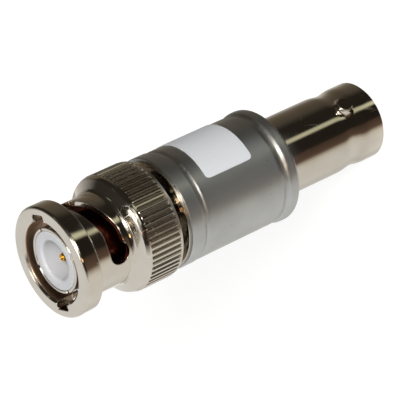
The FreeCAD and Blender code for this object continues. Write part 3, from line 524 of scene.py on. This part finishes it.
# front flange: the bore's circle with a square notch at each mouth, and at every angle of that outline the same
# ring section from there out to the rim
def flangeShell():
    n = nutLook
    shoulder = math.sqrt(n["bore"] ** 2 - n["mouthHalf"] ** 2)
    corners = roundCorners(named(n,
        (shoulder - 0.2, -n["mouthHalf"], 0.001), ("mouthDepth", -n["mouthHalf"], 0.22),
        ("mouthDepth", "mouthHalf", 0.22), (shoulder - 0.2, "mouthHalf", 0.001)), 7)[7:21]
    side = np.linspace(shoulder, corners[0, 0], 8)[:-1]
    floor = np.linspace(corners[6, 1], corners[7, 1], 10)[1:-1]
    cut = np.concatenate([np.stack([side, -n["mouthHalf"] + 0 * side], -1), corners[:7],
                          np.stack([n["mouthDepth"] + 0 * floor, floor], -1), corners[7:],
                          np.stack([side[::-1], n["mouthHalf"] + 0 * side], -1)])
    cutAngle = np.arctan2(cut[:, 1], cut[:, 0]) + math.radians(n["mouth"])
    arc = np.linspace(cutAngle[-1], cutAngle[0] + np.pi, 110)[1:-1]
    radius = np.concatenate([np.hypot(cut[:, 0], cut[:, 1]), np.full(len(arc), n["bore"])])
    radius = np.concatenate([radius, radius])
    angle = np.concatenate([cutAngle, arc])
    angle = np.concatenate([angle, angle + np.pi])
    chamfer = np.where(radius > n["bore"] + 0.001, 0.06, n["mouthChamfer"])
    one = np.ones(len(angle))
    profile = roundCorners(np.stack([np.stack(corner, -1) for corner in (
        (radius, one * n["flangeBase"], one * 0.0001),
        (one * n["flange"], one * n["flangeBase"], one * n["backRounding"]),
        (one * n["flange"], one * n["top"], one * n["frontRounding"]),
        (radius + chamfer, one * n["top"], one * 0.04),
        (radius, one * n["top"] - chamfer, one * 0.04))], 1), 8)
    return polar(profile[..., 0], angle[:, None], profile[..., 1]), gridFaces(*profile.shape[:2])


makePiece("couplingNutGrip", gripShell(), metal, "coupling_nut", ["coupling_nut"])
makePiece("couplingNutSleeve", sleeveShell(), metal, "coupling_nut", bevel=0.09)
makePiece("couplingNutFlange", flangeShell(), metal, "coupling_nut")
print("coupling nut made")


contactLook = {
    "base": 35.1, "seatTop": 37.6, "collarTop": 38.1, "spigotTop": 39.1, "slitBase": 43.3, "top": 47.2,
    "outer": 4.05, "relief": 3.95, "inner": 3.65, "seat": 3.85, "tailBore": 3.45, "collar": 4.88,
    "slitHalf": 0.175, "firstSlit": 62.0, "tipLength": 1.6, "tipRounding": 0.13,
}


# outer contact: a turned profile whose upper part is cut into four fingers. A column's angle is the slit's
# middle + asin(half the slit / radius) + its share of the rest of the quarter turn, so slits stay parallel.
def contactShell():
    c = contactLook
    tail = roundCorners(named(c,
        ("relief", "slitBase", 0.0001), ("inner", "slitBase", 0.0001),
        ("inner", c["collarTop"] + 0.3, 0.02), ("tailBore", "collarTop", 0.02), ("tailBore", "base", 0.05),
        ("seat", "base", 0.05), ("seat", "seatTop", 0.02), ("collar", "seatTop", 0.06),
        ("collar", "collarTop", 0.06), ("outer", "collarTop", 0.02), ("outer", "spigotTop", 0.05),
        ("relief", c["spigotTop"] + 0.1, 0.05)), 5)[10:]
    rounding = c["tipRounding"]
    height = np.linspace(c["slitBase"], c["top"] - rounding, 26)
    reach = np.interp(height, [c["slitBase"], c["top"] - 2 * c["tipLength"], c["top"] - c["tipLength"], c["top"]],
                      [c["relief"], c["relief"], c["outer"] - 0.02, c["outer"]])
    turn = np.linspace(0, np.pi / 2, 7)[1:]
    outside = np.concatenate([np.stack([reach, height], -1),
                              np.stack([reach[-1] - rounding + rounding * np.cos(turn),
                                        height[-1] + rounding * np.sin(turn)], -1)])
    inside = np.stack([np.full(len(outside), c["inner"]), outside[:, 1]], -1)
    inside[26:, 0] += 0.06 * (1 - np.cos(turn))
    profile = np.concatenate([outside, inside[::-1], tail])
    half = len(outside)
    edge = np.arcsin(c["slitHalf"] / profile[:, :1])
    quarter = edge + np.linspace(0, 1, 36) * (np.pi / 2 - 2 * edge)
    angle = np.concatenate([quarter + turnBy * np.pi / 2 for turnBy in range(4)], 1)
    angle = angle + math.radians(c["firstSlit"])
    rows, columns = angle.shape
    index = np.arange(rows * columns).reshape(rows, columns)
    slit = np.arange(columns) % 36 == 35
    faces = gridFaces(rows, columns).reshape(rows, columns, 4)
    kept = np.ones((rows, columns), bool)
    kept[:2 * half - 1, slit] = False
    borders = np.concatenate([np.flatnonzero(slit), np.flatnonzero(slit) - 35])
    up, down = index[:half, borders], index[half:2 * half, borders][::-1]
    walls = np.stack([up[:-1], up[1:], down[1:], down[:-1]], -1).reshape(-1, 4)
    beside = np.roll(index, -1, 1)
    last = 2 * half - 1
    floors = np.stack([index[0][slit], beside[0][slit], beside[last][slit], index[last][slit]], -1)
    return polar(profile[:, :1], angle, profile[:, 1:]), np.concatenate([faces[kept], walls, floors])


insulatorLook = {"face": 47.2, "outer": 3.63, "recess": 2.4, "recessFloor": 41.8, "lip": 0.4, "edge": 0.12,
                 "pinHole": 0.92, "pinShoulder": 32.72, "collarHole": 1.22, "tail": 32.1, "tailRadius": 3.28,
                 "neck": 35.1, "neckRadius": 3.43, "step": 38.12}


# turned nose with its deep recess, whose mouth is well rounded, stepped down through the contact and the neck
def insulatorShell():
    i = insulatorLook
    return turnedShell(roundCorners(named(i,
        ("recess", "face", "lip"), ("recess", "recessFloor", 0.15), ("pinHole", "recessFloor", 0.02),
        ("pinHole", "pinShoulder", 0.02), ("collarHole", "pinShoulder", 0.02), ("collarHole", "tail", 0.02),
        ("tailRadius", "tail", 0.05), ("tailRadius", "neck", 0.02), ("neckRadius", "neck", 0.02),
        ("neckRadius", "step", 0.02), ("outer", i["step"] + 0.3, 0.02), ("outer", "face", "edge")), 7), 128)


pinLook = {"tip": 46.2, "tipRadius": 0.42, "taperBase": 45.3, "radius": 0.675, "bodyTop": 41.8, "bodyRadius": 0.9,
           "collarTop": 32.7, "collarRadius": 1.2, "collarBase": 32.12, "base": 28.25, "leadHole": 0.34,
           "leadTop": 30.25, "dimple": 0.27, "dimpleDepth": 0.4}


# centre pin: body behind the recess, pin proper, taper, and a rounded tip with the turning centre's dimple
def pinShell():
    p = pinLook
    return turnedShell(roundCorners(named(p,
        (0, p["tip"] - p["dimpleDepth"], 0.0001), ("dimple", "tip", 0.02), ("tipRadius", "tip", 0.15),
        ("radius", "taperBase", 0.3), ("radius", "bodyTop", 0.02), ("bodyRadius", "bodyTop", 0.04),
        ("bodyRadius", "collarTop", 0.02), ("collarRadius", "collarTop", 0.03),
        ("collarRadius", "collarBase", 0.03), ("radius", "collarBase", 0.02), ("radius", "base", 0.03),
        ("leadHole", "base", 0.03), ("leadHole", "leadTop", 0.02), (0, "leadTop", 0.0001)), 6), 64, False)


makePiece("outerContact", contactShell(), metal, "attenuator", ["outer_contact"])
makePiece("insulatorNose", insulatorShell(), finishes["ptfe"], "attenuator", ["plug_insulator"])
makePiece("centrePin", pinShell(), finishes["gold"], "attenuator", ["plug_pin"])
print("plug's contacts made")


housingLook = {
    "base": 15.95, "top": 32.5, "hole": 4.89, "wall": 0.5, "bore": 6.46, "endRounding": 0.55,
    "frontRounding": 0.15, "blur": 0.1,
    "step": 0.06, "insideEvery": 4,  # between rows outside, and how many of them make one inside
    # height and radius before the rolls soften it: bead, rear groove, tube, front groove, front band
    "outline": [(15.95, 7.12), (16.95, 7.12), (17.35, 7.05), (17.75, 6.72), (18.0, 6.72), (18.5, 6.9),
                (29.8, 6.9), (30.03, 6.71), (30.25, 6.71), (30.65, 6.96), (32.5, 6.96)],
}


# drawn tube: softened outline outside, a wide rounding at the closed end, a small one at the open end
def housingShell():
    h = housingLook
    radius, height = softOutline(h["outline"], h["blur"], h["step"])
    turn = np.linspace(0, np.pi / 2, 10)
    wide, small = h["endRounding"], h["frontRounding"]
    keep = (height > h["base"] + wide) & (height < h["top"] - small)
    start = np.stack([radius[0] - wide + wide * np.sin(turn), h["base"] + wide - wide * np.cos(turn)], -1)
    end = np.stack([radius[-1] - small + small * np.cos(turn), h["top"] - small + small * np.sin(turn)], -1)
    inside = np.stack([np.minimum(radius[keep] - h["wall"], h["bore"] - 0.06), height[keep]], -1)[::-1]
    inside = inside[inside[:, 1] > h["base"] + h["wall"] + 0.3][::h["insideEvery"]]
    return turnedShell(np.concatenate([
        [(h["hole"], h["base"] + 0.03), (h["hole"] + 0.03, h["base"])], start,
        np.stack([radius[keep], height[keep]], -1), end, [(h["bore"], h["top"]), (h["bore"], h["top"] - 0.1)], inside,
        [(h["bore"] - 0.06, h["base"] + h["wall"]), (h["hole"], h["base"] + h["wall"])]]), 256)


labelLook = {"from": -16.0, "to": 109.0, "low": 21.35, "high": 28.3, "corner": 0.62, "under": 6.905,
             "over": 6.975, "skew": -0.032}


# label: a sheet on the tube. Each row's half width = full half width - corner + sqrt(corner^2 - depth into the
# corner^2); the whole sheet is stuck on a little askew, so heights drift by skew per mm round the tube.
def labelShell():
    k = labelLook
    middle = (k["over"] + k["under"]) / 2
    halfAcross = math.radians(k["to"] - k["from"]) / 2 * middle
    halfUp = (k["high"] - k["low"]) / 2
    bend = halfUp - k["corner"] * (1 - np.sin(np.linspace(0, np.pi / 2, 12)))
    up = np.concatenate([-bend[::-1], np.linspace(-1, 1, 12)[1:-1] * bend[0], bend])
    into = np.clip(np.abs(up) - (halfUp - k["corner"]), 0, None)
    width = halfAcross - k["corner"] + np.sqrt(np.clip(k["corner"] ** 2 - into ** 2, 0, None))
    across = width[:, None] * np.linspace(-1, 1, 90)
    angle = across / middle + math.radians(k["to"] + k["from"]) / 2
    height = (k["high"] + k["low"]) / 2 + up[:, None] + k["skew"] * (across + halfAcross)
    rows, columns = angle.shape
    sheet = gridFaces(rows, columns, False, False)
    index = np.arange(rows * columns).reshape(rows, columns)
    rim = np.concatenate([index[0, :-1], index[:-1, -1], index[-1, :0:-1], index[:0:-1, 0]])
    edge = np.stack([rim, np.roll(rim, -1), np.roll(rim, -1) + rows * columns, rim + rows * columns], -1)
    return (np.concatenate([polar(k["over"], angle, height), polar(k["under"], angle, height)]),
            np.concatenate([sheet, sheet[:, ::-1] + rows * columns, edge]))


makePiece("housingTube", housingShell(), finishes["satin_nickel"], "attenuator", ["housing_tube"])
makePiece("labelFilm", labelShell(), finishes["label_paper"], "attenuator", ["label"])
print("housing made")


barrelLook = {
    "outer": 4.87, "bore": 4.08, "boreDepth": 8.4, "mouthChamfer": 0.2, "endChamfer": 0.3, "blur": 0.3,
    # height and radius before the tool's nose softens it: collar, waist at the lugs, plain length
    "outline": [(0.0, 4.87), (2.7, 4.87), (3.8, 4.65), (4.7, 4.65), (6.1, 4.87), (16.0, 4.87)],
    "shoulder": 16.45, "spigot": 6.36, "groove": 18.0, "grooveDepth": 0.25, "grooveHalf": 0.52, "spigotTop": 19.6,
    "chamber": 3.2, "lipTop": 9.2, "lipHole": 2.4, "waist": 4.65,
    "lugHeight": 4.5, "lugRadius": 1.0, "lugReach": 5.5, "lugStart": 4.3, "lugRounding": 0.16, "lugRoot": 0.7,
}


# turned barrel: softened outline outside, bore with its lip and chamber inside, spigot for the housing
def barrelShell():
    b = barrelLook
    radius, height = softOutline(b["outline"], b["blur"])
    keep = height > b["endChamfer"] + 0.1
    end = roundCorners(named(b,
        (b["bore"] + b["mouthChamfer"], 0, 0.04), (b["outer"] - b["endChamfer"], 0, 0.1),
        ("outer", "endChamfer", 0.1), ("outer", 1, 0.001), ("bore", 1, 0.001), ("bore", "mouthChamfer", 0.04)), 5)
    return turnedShell(np.concatenate([end[25:], end[:15], np.stack([radius[keep], height[keep]], -1), named(b,
        ("outer", "shoulder"), ("spigot", "shoulder"), ("spigot", b["groove"] - b["grooveHalf"]),
        (b["spigot"] - b["grooveDepth"], "groove"), ("spigot", b["groove"] + b["grooveHalf"]),
        ("spigot", "spigotTop"), ("chamber", "spigotTop"), ("chamber", "lipTop"), ("lipHole", "lipTop"),
        ("lipHole", "boreDepth"), ("bore", "boreDepth"))]), 256)


# bayonet lug: a round stud with a softened rim and a filleted root, turned about its own axis and laid along
# +X or -X; the nearer a point is to the root, the more it bends with the barrel: drop = R - sqrt(R^2 - y^2)
def lugShell(way):
    b = barrelLook
    foot = b["lugRadius"] + b["lugRoot"]
    points, faces = turnedShell(roundCorners(named(b,
        (0, "lugReach", 0.0001), ("lugRadius", "lugReach", "lugRounding"),
        ("lugRadius", "waist", b["lugRoot"] - 0.02), (foot, "waist", 0.01), (foot, "lugStart", 0.01),
        (0, "lugStart", 0.0001)), 8), 64, False)
    across, up, out = points[:, 0], points[:, 1], points[:, 2]
    share = np.clip((b["lugReach"] - out) / (b["lugReach"] - b["waist"]), 0, 1)
    out = out - share * (b["waist"] - np.sqrt(b["waist"] ** 2 - across ** 2))
    return np.stack([out * way, across * way, up + b["lugHeight"]], -1), faces


makePiece("jackBarrel", barrelShell(), metal, "attenuator", ["jack_body"])
makePiece("jackLugs", joined(lugShell(1), lugShell(-1)), metal, "attenuator")
print("jack made")


# camera at the photograph's angle: place in metres, and the picture's right, up and backward directions
cameraLook = {"place": (0.21754, -0.10226, 0.17962), "lens": 217.9, "right": (0.26194, -0.59145, -0.76260),
              "up": (0.59007, 0.72342, -0.35840), "back": (0.76367, -0.35611, 0.53850)}

lens = bpy.data.cameras.new("camera")
lens.lens = cameraLook["lens"]
lens.sensor_width = 36
lens.clip_start, lens.clip_end = 0.01, 10
camera = bpy.data.objects.new("camera", lens)
scene.collection.objects.link(camera)
axes = Matrix([cameraLook["right"], cameraLook["up"], cameraLook["back"]]).transposed()
camera.matrix_world = Matrix.Translation(cameraLook["place"]) @ axes.to_4x4()
scene.camera = camera


stageLook = {
    "floorHalf": 1500, "floorColour": "#989896", "floorGlow": 0.83, "roomForShade": 0.36, "roomSeen": 1.2,
    # dark card round one side of the part: azimuths of its part on the floor and of its wall, the wall's radius
    "cardFrom": -176.0, "cardTo": 152.0, "wallFrom": -94.0, "wallTo": 138.0, "wallRadius": 750, "wallTop": 89.5,
    "columns": 149, "lensAzimuth": -25.0, "barrelHalf": 2.435,
    # colours round it by azimuth: white, brown at the near border of the dark, a pale strip in it that paints the
    # barrel's highlight, brown again
    "around": [(-176, "#dedbd5"), (-145, "#fffefa"), (-110, "#fffefa"), (-94, "#fffcf6"), (-81, "#f8f2e8"),
               (-74, "#d0c5b6"), (-67, "#7c6757"), (-62, "#6b5648"), (-46, "#57463b"), (-41, "#2e2823"),
               (-30, "#29241f"), (-8, "#29241f"), (-2, "#f2f0d0"), (3, "#f2f0d0"), (9, "#2b2621"),
               (45, "#2f2a25"), (65, "#5b554b"), (95, "#706454"), (120, "#8a8276"), (152, "#d0cbc2")],
    # how far its wall turns to the room's white at either border
    "wallEnds": [(-94, 1.0), (-68, 0.0), (112, 0.0), (138, 0.75)], "roomColour": (1.1, 1.08, 1.04, 1),
    # colours up its wall, from the floor to overhead
    "upWall": [(0.0, "#2d2924"), (0.3, "#35322c"), (0.6, "#3b3832"), (1.0, "#45423b")],
    # a ring on the floor that only the satin housing mirrors is lighter: share by radius in mm and by azimuth
    "ring": [(0, 0.0), (25, 0.0), (31, 1.0), (53, 1.0), (59, 0.0), (750, 0.0)], "ringColour": "#c3c6c8",
    "ringAround": [(-78, 0.0), (-56, 0.45), (-22, 0.5), (-2, 0.9), (12, 0.75), (38, 0.08)],
    # lamps' images: azimuth and elevation of the middle, half sizes in degrees, strength and colour; the one
    # straight overhead is what the top edges mirror
    "windows": [(-15, 42, 20, 30, 1.3, "#f6f2ea"), (-15, 44, 9, 20, 12.0, "#fff8ee"),
                (-47, 38, 4, 9, 5.0, "#ffc890"), (0, 90, 500, 11, 10.0, "#fffdf8"), (70, 50, 5, 6, 0.6, "#d5ddb8"),
                (-12, 62, 55, 3, 0.8, "#f2f0ea"), (-15, 27, 38, 2, 0.5, "#f2f0ea")],
}


# 1 for camera, glossy and transmission rays, so that metal shows the background that the lens sees
def seenDirectly(tree):
    rays = addNode(tree, "LightPath")
    first = addNode(tree, "Math", {0: rays.outputs["Is Camera Ray"], 1: rays.outputs["Is Glossy Ray"]},
                    operation="ADD")
    return addNode(tree, "Math", {0: first, 1: rays.outputs["Is Transmission Ray"]}, operation="ADD",
                   use_clamp=True)


# a piece of the set, which isn't part of the model
def stagePiece(name, points, faces, material):
    mesh = bpy.data.meshes.new(name)
    mesh.from_pydata((np.asarray(points, float) * mm).tolist(), [], np.asarray(faces).tolist())
    mesh.materials.append(material)
    piece = bpy.data.objects.new(name, mesh)
    scene.collection.objects.link(piece)
    return piece


# matt paper that the lens sees as white; the part still shades it
def buildFloor():
    s = stageLook
    material, tree, matt, place = newMaterial("white paper floor", "BsdfDiffuse")
    matt.inputs["Color"].default_value = hexColour(s["floorColour"])
    level = addNode(tree, "Math", {0: seenDirectly(tree)}, {1: s["floorGlow"]}, operation="MULTIPLY")
    glow = addNode(tree, "Emission", {"Strength": level})
    both = addNode(tree, "AddShader", {0: matt, 1: glow})
    link(tree, both, tree.nodes["Material Output"].inputs["Surface"])
    half = s["floorHalf"]
    corners = [(-half, -half, 0), (half, -half, 0), (half, half, 0), (-half, half, 0)]
    stagePiece("floor", corners, [(0, 1, 2, 3)], material)


# room's light, weaker on the part's shaded sides than the lens and the metal see it
def buildRoom():
    s = stageLook
    world = bpy.data.worlds.new("white room")
    scene.world = world
    world.use_nodes = True
    tree = world.node_tree
    tree.nodes.clear()
    level = addNode(tree, "MapRange", {"Value": seenDirectly(tree)}, spread(s["roomForShade"], s["roomSeen"]))
    room = addNode(tree, "Background", {"Strength": level})
    addNode(tree, "OutputWorld", {"Surface": room})


# dark card that lies on the floor round one side and bends up into a dome, so that polished metal has its dark
# half; only its mirror image shows. Each place's azimuth, elevation and reach from the axis choose its colour.
def buildCard():
    s = stageLook
    azimuth = np.linspace(s["cardFrom"], s["cardTo"], s["columns"])
    lift = np.radians(np.linspace(0, s["wallTop"], 24))
    onFloor = [(4.4, 0.006), (5.3, 0.03), (12, 0.2), (60, 0.8), (s["wallRadius"] - 20, 4)]  # reach and height
    wall = np.stack([s["wallRadius"] * np.cos(lift), 4 + s["wallRadius"] * np.sin(lift)], -1)
    rows = np.concatenate([onFloor, wall])
    points = polar(rows[:, :1], np.radians(azimuth), rows[:, 1:])
    faces = gridFaces(len(rows), len(azimuth), False, False).reshape(len(rows) - 1, len(azimuth) - 1, 4)
    keep = np.ones(faces.shape[:2], bool)
    keep[len(onFloor):, (azimuth[1:] > s["wallTo"]) | (azimuth[:-1] < s["wallFrom"])] = False

    # its colour is emitted, not lit: the card glows to paint the metal's reflections, and its windows paint the
    # lamps' highlights
    material, tree, cardGlow, place = newMaterial("dark card", "Emission")
    apart, reach = fromAxis(tree, place)
    around = addNode(tree, "Math", {0: apart.outputs[1], 1: apart.outputs[0]}, operation="ARCTAN2")
    above = addNode(tree, "Math", {0: apart.outputs[2], 1: reach}, operation="ARCTAN2")
    # close to the barrel its mirror image would run askew, so azimuths are drawn out there about the lens's:
    # (azimuth - lens's) / (1 - half the barrel's radius / reach) + lens's
    lensAt = math.radians(s["lensAzimuth"])
    nearness = addNode(tree, "Math", {1: reach}, {0: s["barrelHalf"] * mm}, operation="DIVIDE")
    share = addNode(tree, "Math", {1: nearness}, {0: 1.0}, operation="SUBTRACT")
    fromLens = addNode(tree, "Math", {0: around}, {1: lensAt}, operation="SUBTRACT")
    drawn = addNode(tree, "Math", {0: fromLens, 1: share}, operation="DIVIDE")
    drawn = addNode(tree, "Math", {0: drawn}, {1: lensAt}, operation="ADD")

    # colours and grey levels by azimuth, elevation and reach, each a ramp over its range
    degree = math.radians(1)
    measures = {"azimuth": (drawn, s["cardFrom"] * degree, s["cardTo"] * degree),
                "elevation": (above, degree, s["wallTop"] * degree), "reach": (reach, 0, s["wallRadius"] * mm)}
    shares = {name: addNode(tree, "MapRange", {"Value": value}, spread(0, 1, low, high))
              for name, (value, low, high) in measures.items()}
    wide = (s["cardFrom"], s["cardTo"])
    ramps = {}
    for name, measure, (low, high) in (("around", "azimuth", wide), ("wallEnds", "azimuth", wide),
                                       ("ringAround", "azimuth", wide), ("upWall", "elevation", (0, 1)),
                                       ("ring", "reach", (0, s["wallRadius"]))):
        ramp = addNode(tree, "ValToRGB", {"Fac": shares[measure]})
        elements = ramp.color_ramp.elements
        while len(elements) < len(s[name]):
            elements.new(0.5)
        for element, (at, level) in zip(elements, s[name]):
            element.position = (at - low) / (high - low)
            element.color = hexColour(level) if isinstance(level, str) else (level, level, level, 1)
        ramps[name] = ramp
    onWall = addNode(tree, "MapRange", {"Value": above}, spread(0, 1, 0.4 * degree, 3 * degree))
    colour = addNode(tree, "Mix", {"Factor": onWall, 6: ramps["around"], 7: ramps["upWall"]},
                     data_type="RGBA").outputs[2]
    for one, other, tint in ((ramps["wallEnds"], onWall, s["roomColour"]),
                             (ramps["ring"], ramps["ringAround"], hexColour(s["ringColour"]))):
        level = addNode(tree, "Math", {0: one, 1: other}, operation="MULTIPLY")
        colour = addNode(tree, "Mix", {"Factor": level, 6: colour}, {7: tint}, data_type="RGBA").outputs[2]
    for azimuthOf, elevationOf, halfAcross, halfUp, strength, tint in s["windows"]:
        # 1 inside an oval with a soft edge: 1 - (offset across / half)^2 - (offset up / half)^2, stretched
        offsets = []
        for value, middle, half in ((around, azimuthOf, halfAcross), (above, elevationOf, halfUp)):
            offset = addNode(tree, "Math", {0: value}, {1: math.radians(middle)}, operation="SUBTRACT")
            scaled = addNode(tree, "Math", {0: offset}, {1: math.radians(half)}, operation="DIVIDE")
            offsets.append(addNode(tree, "Math", {0: scaled}, {1: 2.0}, operation="POWER"))
        total = addNode(tree, "Math", {0: offsets[0], 1: offsets[1]}, operation="ADD")
        inside = addNode(tree, "MapRange", {"Value": total}, spread(1, 0, 0.75, 1.2),
                         interpolation_type="SMOOTHSTEP")
        light = tuple(channel * strength for channel in hexColour(tint)[:3]) + (1,)
        colour = addNode(tree, "Mix", {"Factor": inside, 6: colour}, {7: light}, data_type="RGBA").outputs[2]
    link(tree, colour, cardGlow.inputs["Color"])
    card = stagePiece("dark_card", points, faces[keep], material)
    card.visible_camera = card.visible_diffuse = card.visible_shadow = card.visible_transmission = False


# round soft box that faces the part; azimuth counts from +X, distances in mm
def addLamp(name, azimuth, elevation, distance, size, energy, colour="#ffffff"):
    a, e = math.radians(azimuth), math.radians(elevation)
    direction = Vector((math.cos(a) * math.cos(e), math.sin(a) * math.cos(e), math.sin(e)))
    data = bpy.data.lights.new(name, "AREA")
    data.shape = "DISK"
    data.size = size * mm
    data.energy = energy
    data.color = hexColour(colour)[:3]
    lamp = bpy.data.objects.new(name, data)
    scene.collection.objects.link(lamp)
    lamp.location = Vector((0, 0, 0.03)) + direction * distance * mm
    lamp.rotation_mode = "QUATERNION"
    lamp.rotation_quaternion = (-direction).to_track_quat("-Z", "Y")
    lamp.visible_glossy = False  # its image in the metal is the window on the card
    return lamp


buildFloor()
buildRoom()
buildCard()
addLamp("key", -15, 37, 550, 160, 2.3, "#fffcf8")
addLamp("fill", -75, 36, 700, 500, 0.7)
scene.view_settings.view_transform = "Standard"
print("stage made")
